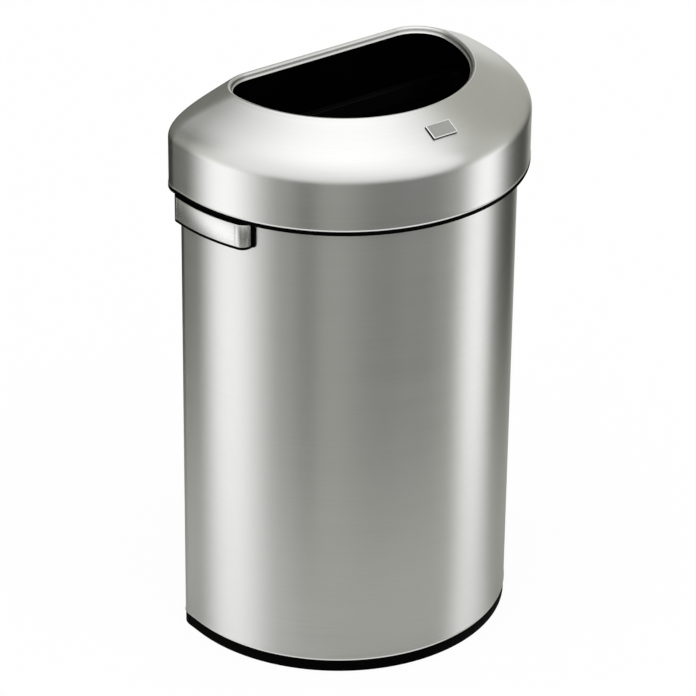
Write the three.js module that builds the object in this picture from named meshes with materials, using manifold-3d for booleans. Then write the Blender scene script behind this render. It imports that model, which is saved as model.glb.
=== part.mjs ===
// A half-round open-top waste bin: brushed steel body and lid, black mouldings, two side grips.
// Millimetres, +Z up. The bin faces -Y and its flat back faces +Y. The origin is on the floor,
// in the middle of the bin's width and depth.
import * as THREE from "three";
import { mergeVertices } from "three/addons/utils/BufferGeometryUtils.js";
import Module from "manifold-3d";

const wasm = await Module();
wasm.setup();

// Plan of the body: a half circle in front, short straight sides, a flat back with round corners
const frontRadius = 210;
const sideRun = 23.5;
const backCornerRadius = 21;
const smallestCorner = 3;

// Sheet and clearances
const sheet = 0.8;
const seat = 0.3;
const overrun = 5;

// Heights of the body
const floorGap = 0.6;
const baseHeight = 16.3;
const bodyTop = 633.2;
const seamWidth = 12;

// Base moulding
const baseInset = 0.3;
const baseWall = 3;
const spigotHeight = 25;
const baseFloor = 3;
const baseFloorZ = 14;
const ribWidth = 3;
const ribFootGap = 4;
const ribBite = 1.5;
const ribPitch = 90;
const ribCount = 5;
const crossRibPitch = 75;
const crossRibCount = 3;
const padRadius = 12;
const padHeight = 3;
const padBossWall = 2;
const padInset = 34;
const padFrontAngle = 0.72;
const padBackShare = 0.93;

// Collar on the top edge of the body
const collarWall = 2.2;
const collarDepth = 10;
const collarTopThickness = 4;
const collarStep = 3.5;
const collarShelfInset = 9;
const collarShelfDrop = 3.5;
const collarShelf = 3;
const collarSkirt = 22;
const collarSkirtWall = 2;

// Liner bucket
const linerWall = 2.5;
const linerClearance = 1.5;
const linerCorner = 14;
const linerFootCorner = 10;
const linerTaper = 13.5;
const linerFloorGap = 5.5;
const linerFootRound = 6;
const linerFootShare = 0.33;
const linerRimGap = 1.3;
const linerRim = 2.5;

// Ring that holds the bag
const bagRingThickness = 2;
const bagRingFlangeGap = 0.3;
const bagRingSkirt = 20;
const bagRingClearance = 0.6;
const bagRingDraft = 0.7;

// Lid: steel shell
const lidOverhang = 14.7;
const lidOverlap = 31.4;
const bandHeight = 57.7;
const shoulderPull = 22.5;
const domeRise = 51.7;
const domeReach = 66.5;
const domeBackReach = 15.2;
const mouthCornerRadius = 47.7;
const mouthSlope = 0.49;
const mouthPull = 31.6;
const rimWidth = 7.6;
const rimPull = 3.4;
const rimCrown = 0.6;
const rimDepth = 6.3;

// Lid: black frame and mouth liner
const lipHeight = 4.4;
const frameWeb = 3;
const frameUpstand = 18;
const frameUpstandWall = 2;
const frameSkirtWall = 2;
const frameSkirtGap = 1;
const frameLedge = 3;
const frameLedgeReach = 6.7;
const frameRibWidth = 2;
const frameRibHeight = 12;
const frameRibCount = 10;
const mouthLinerWall = 2.2;
const mouthLinerSetback = 1.6;
const mouthLinerTopGap = 5;
const mouthLinerFlange = 2.5;
const mouthLinerFlangeReach = 8;

// Plate on the dome, left bare
const plateWidth = 34.3;
const plateHeight = 20;
const plateThickness = 1.6;
const plateCorner = 1.2;
const plateBorder = 1.3;
const plateRecess = 0.4;
const plateInset = 36.7;
const plateGap = 0.4;

// Side grips
const gripRear = 27;
const gripFront = 92.5;
const gripProjection = 17.5;
const gripSplay = 4.8;
const gripRound = 8.7;
const gripDrop = 6.7;
const gripHeight = 28.35;
const gripLip = 3.4;
const gripCap = 1.6;
const gripSkin = 0.8;
const gripCoreWall = 2.4;
const gripEndBlock = 14;
const gripHeel = 7;
const gripFoot = 3;
const gripFootReach = 0.4;
const backingThickness = 1.5;
const backingHeight = 20;
const backingEnd = 4;

// Screws
const screwRadius = 2;
const screwHeadRadius = 4;
const screwHead = 2.4;
const screwCrownShare = 0.7;
const screwClearance = 0.3;
const gripScrewInset = 5;
const gripScrewBite = 9;
const lidScrewCount = 6;
const lidBackScrewShare = 0.6;
const lidScrewLength = 4.6;
const lidScrewInset = 1;

// Fineness of the curved surfaces
const frontSteps = 36;
const cornerSteps = 5;
const joinAngle = 0.02;
const domeSteps = 9;
const rimSteps = 5;
const gripCurveSteps = 5;
const plateCurveSteps = 4;
const bendStep = 9;
const roundSteps = 12;

// Finishes
const brushedSteel = { color: 0x9a9b96, roughness: 0.32, metalness: 1 };
const brushedLid = { color: 0xa6a7a2, roughness: 0.3, metalness: 1 };
const blackPlastic = { color: 0x0d0d0e, roughness: 0.55, metalness: 0 };
const blackRubber = { color: 0x141414, roughness: 0.9, metalness: 0 };
const zincSteel = { color: 0x8d9196, roughness: 0.4, metalness: 1 };

// Sizes that follow from the ones above
const bodyPlan = { radius: frontRadius, back: sideRun + backCornerRadius, corner: backCornerRadius };
const lidPlan = inset(bodyPlan, -lidOverhang);
const mouthPlan = {
  radius: lidPlan.radius - domeReach,
  back: lidPlan.back - domeBackReach,
  corner: mouthCornerRadius,
};
const lidBottom = bodyTop - lidOverlap;
const shoulderZ = lidBottom + bandHeight;
const mouthZ = shoulderZ + domeRise;
const centreShift = (lidPlan.radius - lidPlan.back) / 2;
const padTop = padHeight + seat;
const baseTop = baseFloorZ + baseFloor;
const collarTop = bodyTop + seat + collarTopThickness;
const shelfZ = collarTop - collarShelfDrop;
const linerTopInset = collarShelfInset + linerClearance;
const rimInset = collarStep + linerRimGap;
const rimTop = shelfZ + seat + linerRim;
const linerBottom = baseTop + linerFloorGap;
const frameBottom = lidBottom - lipHeight;
const skirtOut = collarWall + seat + frameSkirtGap;
const ledgeBottom = collarTop + seat;
const ledgeTop = ledgeBottom + frameLedge;
const ledgeInset = frameLedgeReach - skirtOut;
const mouthLinerBottom = ledgeTop + seat;
const gripTop = lidBottom - gripDrop;
const gripBottom = gripTop - gripHeight;
const gripMiddle = (gripTop + gripBottom) / 2;

// A plan outline moved inwards by a distance, or outwards when it is negative
function inset(plan, distance) {
  return {
    radius: plan.radius - distance,
    back: plan.back - distance,
    corner: Math.max(plan.corner - distance, smallestCorner),
  };
}

function mixPlans(from, to, share) {
  const mix = (a, b) => a + (b - a) * share;
  return {
    radius: mix(from.radius, to.radius),
    back: mix(from.back, to.back),
    corner: mix(from.corner, to.corner),
  };
}

// The points of a plan outline, counter-clockwise seen from above, always as many. The front arc
// runs into short straight sides, or straight into the back corners where these are too large.
function ring(plan, z) {
  const points = [];
  const arc = (x, y, radius, start, sweep, steps) => {
    for (let i = 0; i <= steps; i++) {
      const angle = start + (sweep * i) / steps;
      points.push(new THREE.Vector3(x + radius * Math.cos(angle), y + radius * Math.sin(angle), z));
    }
  };
  const cornerY = plan.back - plan.corner;
  const dip = Math.min(cornerY, 0);
  const cornerX = Math.sqrt((plan.radius - plan.corner) ** 2 - dip ** 2);
  const turn = Math.atan2(dip, cornerX);
  const sweep = Math.PI / 2 - turn;
  const trim = joinAngle - turn;
  arc(0, 0, plan.radius, Math.PI + trim, Math.PI - 2 * trim, frontSteps);
  arc(cornerX, cornerY, plan.corner, turn, sweep, cornerSteps);
  arc(-cornerX, cornerY, plan.corner, Math.PI / 2, sweep, cornerSteps);
  return points;
}

// A closed solid through rings of points: the outside goes up, the inside comes down.
// A looped loft joins its last ring to its first one, any other has flat ends.
function loft(rings, looped) {
  const positions = rings.flat().flatMap((p) => [p.x, p.y, p.z]);
  const count = rings[0].length;
  const index = [];
  const strip = (low, high) => {
    for (let j = 0; j < count; j++) {
      const k = (j + 1) % count;
      index.push(low + j, low + k, high + k, low + j, high + k, high + j);
    }
  };
  for (let i = 0; i + 1 < rings.length; i++) strip(i * count, (i + 1) * count);
  const last = (rings.length - 1) * count;
  if (looped) {
    strip(last, 0);
  } else {
    const middle = (points) => {
      const centre = points.reduce((sum, p) => sum.add(p), new THREE.Vector3());
      return centre.divideScalar(points.length);
    };
    const low = positions.length / 3;
    const centres = [middle(rings[0]), middle(rings[rings.length - 1])];
    centres.forEach((c) => positions.push(c.x, c.y, c.z));
    for (let j = 0; j < count; j++) {
      const k = (j + 1) % count;
      index.push(low, k, j, low + 1, last + j, last + k);
    }
  }
  const geometry = new THREE.BufferGeometry();
  geometry.setAttribute("position", new THREE.Float32BufferAttribute(positions, 3));
  geometry.setIndex(index);
  return geometry;
}

// A profile of [inset from a plan, height] pairs swept round that plan as a closed ring
function sweepRound(plan, profile) {
  return loft(profile.map(([distance, z]) => ring(inset(plan, distance), z)), true);
}

// A sheet of even thickness whose outer face goes through the rings
function sheetThrough(rings, thickness) {
  const count = rings[0].length;
  const inner = rings.map((points, i) =>
    points.map((p, j) => {
      const along = rings[Math.min(i + 1, rings.length - 1)][j].clone();
      along.sub(rings[Math.max(i - 1, 0)][j]);
      const across = points[(j + 1) % count].clone().sub(points[(j + count - 1) % count]);
      const outwards = across.cross(along).normalize();
      return p.clone().addScaledVector(outwards, -thickness);
    }),
  );
  return loft([...rings, ...inner.reverse()], true);
}

// Solids for cutting and joining
function solid(geometry) {
  const bare = geometry.clone();
  bare.deleteAttribute("normal");
  bare.deleteAttribute("uv");
  const merged = mergeVertices(bare);
  return new wasm.Manifold(
    new wasm.Mesh({
      numProp: 3,
      vertProperties: merged.attributes.position.array,
      triVerts: new Uint32Array(merged.index.array),
    }),
  );
}

function geometryOf(made) {
  const mesh = made.getMesh();
  const geometry = new THREE.BufferGeometry();
  geometry.setAttribute("position", new THREE.BufferAttribute(mesh.vertProperties, 3));
  geometry.setIndex(new THREE.BufferAttribute(mesh.triVerts, 1));
  return geometry;
}

function joined(first, ...others) {
  return others.reduce((sum, g) => sum.add(solid(g)), solid(first));
}

function cut(made, ...tools) {
  return tools.reduce((left, g) => left.subtract(solid(g)), made);
}

// An upright prism over an outline of [x, y] pairs
function prism(outline, low, high) {
  const shape = new THREE.Shape(outline.map(([x, y]) => new THREE.Vector2(x, y)));
  const geometry = new THREE.ExtrudeGeometry(shape, { depth: high - low, bevelEnabled: false });
  return geometry.translate(0, 0, low);
}

function block(width, depth, low, high, x, y) {
  const geometry = new THREE.BoxGeometry(width, depth, high - low);
  return geometry.translate(x, y, (low + high) / 2);
}

function post(radius, low, high, x, y) {
  const geometry = new THREE.CylinderGeometry(radius, radius, high - low, roundSteps);
  return geometry.rotateX(Math.PI / 2).translate(x, y, (low + high) / 2);
}

function part(name, geometry, finish) {
  const mesh = new THREE.Mesh(geometry, new THREE.MeshStandardMaterial(finish));
  mesh.name = name;
  return mesh;
}

// A place by the wall, at a length along it from the widest point towards the front, and out from it
function wallPoint(side, along, out) {
  const radius = frontRadius + out;
  if (along <= 0) return [side * radius, -along];
  const angle = along / frontRadius;
  return [side * radius * Math.cos(angle), -radius * Math.sin(angle)];
}

// An outline drawn flat as [along, out] pairs, bent round the wall
function bend(side, flat) {
  const bent = [];
  flat.forEach(([along, out], i) => {
    const [nextAlong, nextOut] = flat[(i + 1) % flat.length];
    const steps = Math.max(1, Math.ceil(Math.abs(nextAlong - along) / bendStep));
    for (let step = 0; step < steps; step++) {
      const share = step / steps;
      const place = [along + (nextAlong - along) * share, out + (nextOut - out) * share];
      bent.push(wallPoint(side, ...place));
    }
  });
  return bent;
}

// Half of a grip's outline, from the wall at its rear end round to the wall at its front end
function gripPath(setback, foot) {
  const rear = setback - gripRear;
  const front = gripFront - setback;
  const face = gripProjection - setback;
  const slope = gripSplay / gripProjection;
  const reach = gripRound - setback;
  const corner = face * slope;
  const path = new THREE.Path();
  path.moveTo(rear + foot * slope, foot);
  path.lineTo(rear + corner - reach * slope, face - reach);
  path.quadraticCurveTo(rear + corner, face, rear + corner + reach, face);
  path.lineTo(front - corner - reach, face);
  path.quadraticCurveTo(front - corner, face, front - corner + reach * slope, face - reach);
  path.lineTo(front - foot * slope, foot);
  return path.getPoints(gripCurveSteps).map((p) => [p.x, p.y]);
}

// A hole or shank tool along the radius of the wall
function radialPost(side, along, radius, from, to, z) {
  const geometry = new THREE.CylinderGeometry(radius, radius, to - from, roundSteps);
  geometry.rotateZ(-Math.PI / 2).translate((from + to) / 2, 0, 0);
  const [x, y] = wallPoint(side, along, 0);
  const turn = Math.atan2(along > 0 ? y : 0, x);
  return geometry.rotateZ(turn).translate(x, y, z);
}

const gripScrewPlaces = [gripScrewInset + gripSplay - gripRear, gripFront - gripSplay - gripScrewInset];

function gripScrewHoles(side, from, to) {
  const radius = screwRadius + screwClearance;
  return gripScrewPlaces.map((along) => radialPost(side, along, radius, from, to, gripMiddle));
}

function bodyShell() {
  const tube = sweepRound(bodyPlan, [
    [0, baseHeight],
    [0, bodyTop],
    [sheet, bodyTop],
    [sheet, baseHeight],
  ]);
  const seamLow = baseHeight + seamWidth;
  const seamHigh = lidBottom - seamWidth;
  const lap = block(seamWidth, 2 * sheet, seamLow, seamHigh, 0, bodyPlan.back);
  const holes = [-1, 1].flatMap((side) => gripScrewHoles(side, -overrun, overrun));
  return part("body_shell", geometryOf(cut(joined(tube, lap), ...holes)), brushedSteel);
}

// The base: a ring that the steel stands on, a spigot inside the steel and a ribbed floor
function baseMoulding() {
  const spigotInset = sheet + seat;
  const innerInset = spigotInset + baseWall;
  const shelfTop = baseHeight - seat;
  const rings = [
    [innerInset, baseFloorZ],
    [innerInset, floorGap],
    [baseInset, floorGap],
    [baseInset, shelfTop],
    [spigotInset, shelfTop],
    [spigotInset, baseHeight + spigotHeight],
    [innerInset, baseHeight + spigotHeight],
    [innerInset, baseTop],
  ].map(([distance, z]) => ring(inset(bodyPlan, distance), z));
  const width = 2 * frontRadius;
  const ribTop = baseFloorZ + ribBite;
  const ribs = [];
  for (let i = 0; i < ribCount; i++) {
    const x = (i - (ribCount - 1) / 2) * ribPitch;
    ribs.push(block(ribWidth, width, ribFootGap, ribTop, x, -frontRadius / 2));
  }
  for (let i = 0; i < crossRibCount; i++) {
    const y = -i * crossRibPitch;
    ribs.push(block(width, ribWidth, ribFootGap, ribTop, 0, y));
  }
  const inside = solid(loft([
    ring(inset(bodyPlan, innerInset - seat), ribFootGap),
    ring(inset(bodyPlan, innerInset - seat), ribTop),
  ], false));
  const grid = joined(...ribs).intersect(inside);
  const bosses = padPlaces().map(([x, y]) => post(padRadius + padBossWall, padTop, baseFloorZ, x, y));
  const made = joined(loft(rings, false), ...bosses).add(grid);
  return part("base_moulding", geometryOf(made), blackPlastic);
}

function padPlaces() {
  const reach = frontRadius - padInset;
  const front = [reach * Math.sin(padFrontAngle), -reach * Math.cos(padFrontAngle)];
  const back = [reach * padBackShare, bodyPlan.back - padInset];
  return [front, [-front[0], front[1]], back, [-back[0], back[1]]];
}

function footPads() {
  return padPlaces().map(([x, y], i) => {
    const pad = part(`foot_pad_${i + 1}`, post(padRadius, 0, padHeight, 0, 0), blackRubber);
    pad.position.set(x, y, 0);
    return pad;
  });
}

// The collar: a slot takes the steel's edge, the top carries the lid, the step carries the liner
function topCollar() {
  const slotOut = -seat;
  const slotIn = sheet + seat;
  const slotTop = bodyTop + seat;
  const profile = [
    [-seat - collarWall, slotTop - collarDepth],
    [-seat - collarWall, collarTop],
    [collarStep, collarTop],
    [collarStep, shelfZ],
    [collarShelfInset, shelfZ],
    [collarShelfInset, shelfZ - collarSkirt],
    [collarShelfInset - collarSkirtWall, shelfZ - collarSkirt],
    [collarShelfInset - collarSkirtWall, shelfZ - collarShelf],
    [slotIn, shelfZ - collarShelf],
    [slotIn, slotTop],
    [slotOut, slotTop],
    [slotOut, slotTop - collarDepth],
  ];
  return part("top_collar", sweepRound(bodyPlan, profile), blackPlastic);
}

// One side grip: a black core open below, a steel skin over its face and bends, a backing plate
// and two screws
function gripCore(side) {
  const setback = gripSkin + seat;
  const outline = (path) => bend(side, path);
  const body = prism(outline(gripPath(setback, seat)), gripBottom - gripLip, gripTop + gripCap);
  const slope = gripSplay / gripProjection;
  const heel = prism(
    outline([
      [seat * slope - gripRear, seat],
      [gripHeel * slope - gripRear, gripHeel],
      [gripFront - gripHeel * slope, gripHeel],
      [gripFront - seat * slope, seat],
    ]),
    gripBottom - gripLip,
    gripTop + gripCap,
  );
  const lip = prism(outline(gripPath(0, seat)), gripBottom - gripLip, gripBottom - seat);
  const cap = prism(outline(gripPath(0, seat)), gripTop + seat, gripTop + gripCap);
  const foot = prism(
    outline([
      [-gripRear - gripFootReach, seat],
      [-gripRear - gripFootReach, gripFoot],
      [gripFront + gripFootReach, gripFoot],
      [gripFront + gripFootReach, seat],
    ]),
    gripBottom - gripLip,
    gripTop + gripCap,
  );
  const face = gripProjection - setback - gripCoreWall;
  const pocket = prism(
    outline([
      [gripEndBlock - gripRear, -overrun],
      [gripEndBlock - gripRear, face],
      [gripFront - gripEndBlock, face],
      [gripFront - gripEndBlock, -overrun],
    ]),
    gripBottom - gripLip - overrun,
    gripTop - gripCoreWall,
  );
  const pilots = gripScrewHoles(side, -overrun, gripScrewBite + screwClearance);
  return geometryOf(cut(joined(body, heel, lip, cap, foot), pocket, ...pilots));
}

function gripSkinBand(side) {
  const end = gripHeel + seat;
  const outer = gripPath(0, end);
  const inner = gripPath(gripSkin, end).reverse();
  return prism(bend(side, [...outer, ...inner]), gripBottom, gripTop);
}

function gripBacking(side) {
  const near = -sheet - seat;
  const far = near - backingThickness;
  const outline = bend(side, [
    [backingEnd - gripRear, near],
    [gripFront - backingEnd, near],
    [gripFront - backingEnd, far],
    [backingEnd - gripRear, far],
  ]);
  const plate = prism(outline, gripMiddle - backingHeight / 2, gripMiddle + backingHeight / 2);
  const holes = gripScrewHoles(side, -overrun, overrun);
  return geometryOf(cut(solid(plate), ...holes));
}

// A pan-head screw that points along +Z from its head's seat
function screw(length) {
  const profile = [
    [0, -screwHead],
    [screwHeadRadius * screwCrownShare, -screwHead],
    [screwHeadRadius, -screwHead / 2],
    [screwHeadRadius, 0],
    [screwRadius, 0],
    [screwRadius, length],
    [0, length],
  ];
  const points = profile.map(([radius, z]) => new THREE.Vector2(radius, z));
  return new THREE.LatheGeometry(points, roundSteps).rotateX(Math.PI / 2);
}

function gripScrews(side, label) {
  const headSeat = -sheet - seat - backingThickness - seat;
  return gripScrewPlaces.map((along, i) => {
    const made = part(`grip_screw_${label}_${i + 1}`, screw(gripScrewBite - headSeat), zincSteel);
    const [x, y] = wallPoint(side, along, headSeat);
    const turn = Math.atan2(along > 0 ? y : 0, x);
    made.position.set(x, y, gripMiddle);
    made.rotation.set(0, Math.PI / 2, turn, "ZYX");
    return made;
  });
}

function sideGrip(side, label) {
  const grip = new THREE.Group();
  grip.add(part(`grip_core_${label}`, gripCore(side), blackPlastic));
  grip.add(part(`grip_skin_${label}`, gripSkinBand(side), brushedLid));
  grip.add(part(`grip_backing_${label}`, gripBacking(side), zincSteel));
  grip.add(...gripScrews(side, label));
  return grip;
}

// The liner bucket, which hangs by its rim and tapers so that it lifts out
function linerPlan(distance) {
  const plan = inset(bodyPlan, distance);
  plan.corner = Math.max(linerCorner + linerTopInset - distance, linerFootCorner);
  return plan;
}

function linerBucket() {
  const foot = linerTopInset + linerTaper;
  const rings = [
    [foot + linerFootRound, linerBottom],
    [foot + linerFootRound * linerFootShare, linerBottom + linerFootRound * linerFootShare],
    [foot, linerBottom + linerFootRound],
    [linerTopInset, shelfZ + seat],
    [rimInset, shelfZ + seat],
    [rimInset, rimTop],
    [linerTopInset + linerWall, rimTop],
    [foot + linerWall, linerBottom + linerFootRound + linerWall],
    [foot + linerFootRound + linerWall, linerBottom + linerWall],
  ].map(([distance, z]) => ring(linerPlan(distance), z));
  return part("liner_bucket", loft(rings, false), blackPlastic);
}

function bagRing() {
  const low = rimTop + bagRingFlangeGap;
  const high = low + bagRingThickness;
  const skirtInset = linerTopInset + linerWall + bagRingClearance;
  const skirtLow = low - bagRingSkirt;
  const rings = [
    [rimInset, low],
    [rimInset, high],
    [skirtInset + bagRingThickness, high],
    [skirtInset + bagRingThickness + bagRingDraft, skirtLow],
    [skirtInset + bagRingDraft, skirtLow],
    [skirtInset, low],
  ].map(([distance, z]) => ring(linerPlan(distance), z));
  return part("bag_ring", loft(rings, true), blackPlastic);
}

// The lid's outer face: an upright band, a dome that runs from the half-round outline up to the
// smaller mouth, and a rounded rim that turns down inside
function lidFace() {
  const dome = new THREE.CubicBezierCurve(
    new THREE.Vector2(0, shoulderZ),
    new THREE.Vector2(0, shoulderZ + shoulderPull),
    new THREE.Vector2(
      domeReach - mouthPull * Math.cos(mouthSlope),
      mouthZ - mouthPull * Math.sin(mouthSlope),
    ),
    new THREE.Vector2(domeReach, mouthZ),
  );
  const rim = new THREE.CubicBezierCurve(
    new THREE.Vector2(0, mouthZ),
    new THREE.Vector2(rimPull * Math.cos(mouthSlope), mouthZ + rimPull * Math.sin(mouthSlope)),
    new THREE.Vector2(rimWidth, mouthZ + rimCrown),
    new THREE.Vector2(rimWidth, mouthZ - rimDepth),
  );
  return { dome, rim };
}

function lidShell() {
  const { dome, rim } = lidFace();
  const rings = [ring(lidPlan, lidBottom)];
  for (const p of dome.getPoints(domeSteps)) {
    rings.push(ring(mixPlans(lidPlan, mouthPlan, p.x / domeReach), p.y));
  }
  for (const p of rim.getPoints(rimSteps).slice(1)) {
    rings.push(ring(inset(mouthPlan, p.x), p.y));
  }
  return part("lid_shell", sheetThrough(rings, sheet), brushedLid);
}

// The lid's frame: a lip below the band, an upstand inside it, a skirt round the collar and a ledge
function lidFrame() {
  const upstandOut = -lidOverhang + sheet + seat;
  const profile = [
    [-lidOverhang, frameBottom],
    [-lidOverhang, lidBottom - seat],
    [upstandOut, lidBottom - seat],
    [upstandOut, lidBottom + frameUpstand],
    [upstandOut + frameUpstandWall, lidBottom + frameUpstand],
    [upstandOut + frameUpstandWall, frameBottom + frameWeb],
    [-skirtOut - frameSkirtWall, frameBottom + frameWeb],
    [-skirtOut - frameSkirtWall, ledgeTop],
    [ledgeInset, ledgeTop],
    [ledgeInset, ledgeBottom],
    [-skirtOut, ledgeBottom],
    [-skirtOut, frameBottom],
  ];
  const ribOut = upstandOut + frameUpstandWall - seat;
  const ribIn = seat - skirtOut - frameSkirtWall;
  const ribLow = frameBottom + frameWeb - seat;
  const ribs = [];
  for (let i = 0; i < frameRibCount; i++) {
    const from = frontRadius - ribIn;
    const to = frontRadius - ribOut;
    const rib = block(to - from, frameRibWidth, ribLow, ribLow + frameRibHeight, (from + to) / 2, 0);
    ribs.push(rib.rotateZ(Math.PI * (1 + (i + 1 / 2) / frameRibCount)));
  }
  const holes = lidScrewPlaces().map(([x, y]) =>
    post(screwRadius + screwClearance, ledgeBottom - overrun, ledgeTop + overrun, x, y),
  );
  const made = joined(sweepRound(bodyPlan, profile), ...ribs);
  return part("lid_frame", geometryOf(cut(made, ...holes)), blackPlastic);
}

// The mouth liner: a black funnel from just behind the rim down to the frame's ledge
function mouthLiner() {
  const flangeOut = ledgeInset - mouthLinerFlangeReach;
  const funnelFoot = ledgeInset + seat;
  const top = mouthZ - mouthLinerTopGap;
  const sections = [
    [inset(bodyPlan, flangeOut), mouthLinerBottom],
    [inset(bodyPlan, flangeOut), mouthLinerBottom + mouthLinerFlange],
    [inset(bodyPlan, funnelFoot), mouthLinerBottom + mouthLinerFlange],
    [inset(mouthPlan, mouthLinerSetback), top],
    [inset(mouthPlan, mouthLinerSetback + mouthLinerWall), top],
    [inset(bodyPlan, funnelFoot + mouthLinerWall), mouthLinerBottom],
  ];
  const made = solid(loft(sections.map(([plan, z]) => ring(plan, z)), true));
  const holes = lidScrewPlaces().map(([x, y]) =>
    post(screwRadius + screwClearance, mouthLinerBottom - overrun, mouthLinerBottom + overrun, x, y),
  );
  return part("mouth_liner", geometryOf(cut(made, ...holes)), blackPlastic);
}

function lidScrewPlaces() {
  const radius = frontRadius + lidScrewInset;
  const places = [];
  for (let i = 0; i < lidScrewCount; i++) {
    const angle = Math.PI * (1 + (i + 1 / 2) / lidScrewCount);
    places.push([radius * Math.cos(angle), radius * Math.sin(angle)]);
  }
  const back = bodyPlan.back + lidScrewInset;
  places.push([frontRadius * lidBackScrewShare, back], [-frontRadius * lidBackScrewShare, back]);
  return places;
}

function lidScrews() {
  return lidScrewPlaces().map(([x, y], i) => {
    const made = part(`lid_screw_${i + 1}`, screw(lidScrewLength), zincSteel);
    made.position.set(x, y, mouthLinerBottom + mouthLinerFlange + seat);
    made.rotation.x = Math.PI;
    return made;
  });
}

// The bare plate on the front of the dome, tilted with the surface below it, its field recessed
function frontPlate() {
  const halfWidth = plateWidth / 2;
  const halfHeight = plateHeight / 2;
  const shape = new THREE.Shape();
  shape.moveTo(plateCorner - halfWidth, -halfHeight);
  shape.lineTo(halfWidth - plateCorner, -halfHeight);
  shape.quadraticCurveTo(halfWidth, -halfHeight, halfWidth, plateCorner - halfHeight);
  shape.lineTo(halfWidth, halfHeight - plateCorner);
  shape.quadraticCurveTo(halfWidth, halfHeight, halfWidth - plateCorner, halfHeight);
  shape.lineTo(plateCorner - halfWidth, halfHeight);
  shape.quadraticCurveTo(-halfWidth, halfHeight, -halfWidth, halfHeight - plateCorner);
  shape.lineTo(-halfWidth, plateCorner - halfHeight);
  shape.quadraticCurveTo(-halfWidth, -halfHeight, plateCorner - halfWidth, -halfHeight);
  const blank = new THREE.ExtrudeGeometry(shape, {
    depth: plateThickness,
    bevelEnabled: false,
    curveSegments: plateCurveSteps,
  });
  const fieldWidth = plateWidth - 2 * plateBorder;
  const fieldHeight = plateHeight - 2 * plateBorder;
  const floor = plateThickness - plateRecess;
  const field = block(fieldWidth, fieldHeight, floor, plateThickness + overrun, 0, 0);
  const geometry = geometryOf(cut(solid(blank), field));
  const { dome } = lidFace();
  const fine = dome.getPoints(domeSteps * domeSteps);
  const i = fine.findIndex((p) => p.x > plateInset);
  const step = fine[i + 1].clone().sub(fine[i - 1]);
  const tilt = Math.atan2(step.y, step.x);
  const plate = part("front_plate", geometry, brushedLid);
  plate.position.set(
    0,
    -(lidPlan.radius - fine[i].x) - plateGap * Math.sin(tilt),
    fine[i].y + plateGap * Math.cos(tilt),
  );
  plate.rotation.x = tilt;
  return plate;
}

function bodyAssembly() {
  const body = new THREE.Group();
  body.add(bodyShell(), baseMoulding(), topCollar(), ...footPads());
  body.add(sideGrip(-1, "left"), sideGrip(1, "right"));
  return body;
}

function lidAssembly() {
  const lid = new THREE.Group();
  lid.add(lidShell(), lidFrame(), mouthLiner(), ...lidScrews(), frontPlate());
  return lid;
}

const bin = new THREE.Group();
bin.name = "half_round_bin";
bin.add(bodyAssembly(), linerBucket(), bagRing(), lidAssembly());
bin.position.y = centreShift;

export default bin;
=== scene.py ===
"""Looks of a half-round waste bin: brushed steel body and domed lid, black mouldings, side grips.

Metres, +Z up. The round front faces -Y, the flat back faces +Y, the floor is at z 0.
"""

import math

import bmesh
import bpy
from mathutils import Matrix, Vector


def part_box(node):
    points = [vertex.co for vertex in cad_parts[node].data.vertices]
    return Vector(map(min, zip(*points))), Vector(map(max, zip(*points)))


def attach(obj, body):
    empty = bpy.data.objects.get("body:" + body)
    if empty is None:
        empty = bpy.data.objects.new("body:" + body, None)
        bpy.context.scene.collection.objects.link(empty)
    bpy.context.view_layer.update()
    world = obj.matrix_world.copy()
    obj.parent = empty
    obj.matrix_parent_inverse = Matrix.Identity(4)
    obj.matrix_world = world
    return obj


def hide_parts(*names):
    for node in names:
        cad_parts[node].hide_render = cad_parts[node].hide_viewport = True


bl_info = {
    "name": "Half-round waste bin",
    "version": (1, 0, 0),
    "blender": (4, 5, 0),
    "location": "View3D > Sidebar > Bin",
    "description": "Builds the visible pieces, finishes and studio of a half-round waste bin",
    "category": "Object",
}

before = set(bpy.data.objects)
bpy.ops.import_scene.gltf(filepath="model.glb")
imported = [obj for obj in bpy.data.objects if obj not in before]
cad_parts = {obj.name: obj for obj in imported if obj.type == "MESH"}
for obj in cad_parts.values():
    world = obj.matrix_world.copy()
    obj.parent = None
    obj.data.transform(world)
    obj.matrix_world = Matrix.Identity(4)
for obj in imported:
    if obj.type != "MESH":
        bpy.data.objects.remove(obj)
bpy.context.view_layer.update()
FRONT_STEPS = 150
CORNER_STEPS = 16
DOME_STEPS = 54
RIM_STEPS = 16
ROUND_STEPS = 48
BEND_STEP = 0.0025
COLLAR_RISE = 0.004
COLLAR_SIDE = 0.0022
SHELF_DROP = 0.0035
LINER_SIDE = 0.0105
CREASE = ((0.0003, 0), (0.0014, 0.00022), (0.0022, 0))
GRAIN_ALONG = 5
GRAIN_ACROSS = 900
SHARP = math.radians(34)
SAME_POINT = 1e-7


def number(name, description, default, **settings):
    return bpy.props.FloatProperty(name=name, description=description, default=default, **settings)


def length(name, description, default):
    return number(name, description, default, min=0, unit="LENGTH", precision=5)


def degrees(name, description, default):
    return number(name, description, math.radians(default), subtype="ANGLE")


def colour(name, description, default):
    return bpy.props.FloatVectorProperty(
        name=name, description=description, default=default, size=3, min=0, max=1, subtype="COLOR"
    )


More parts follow.
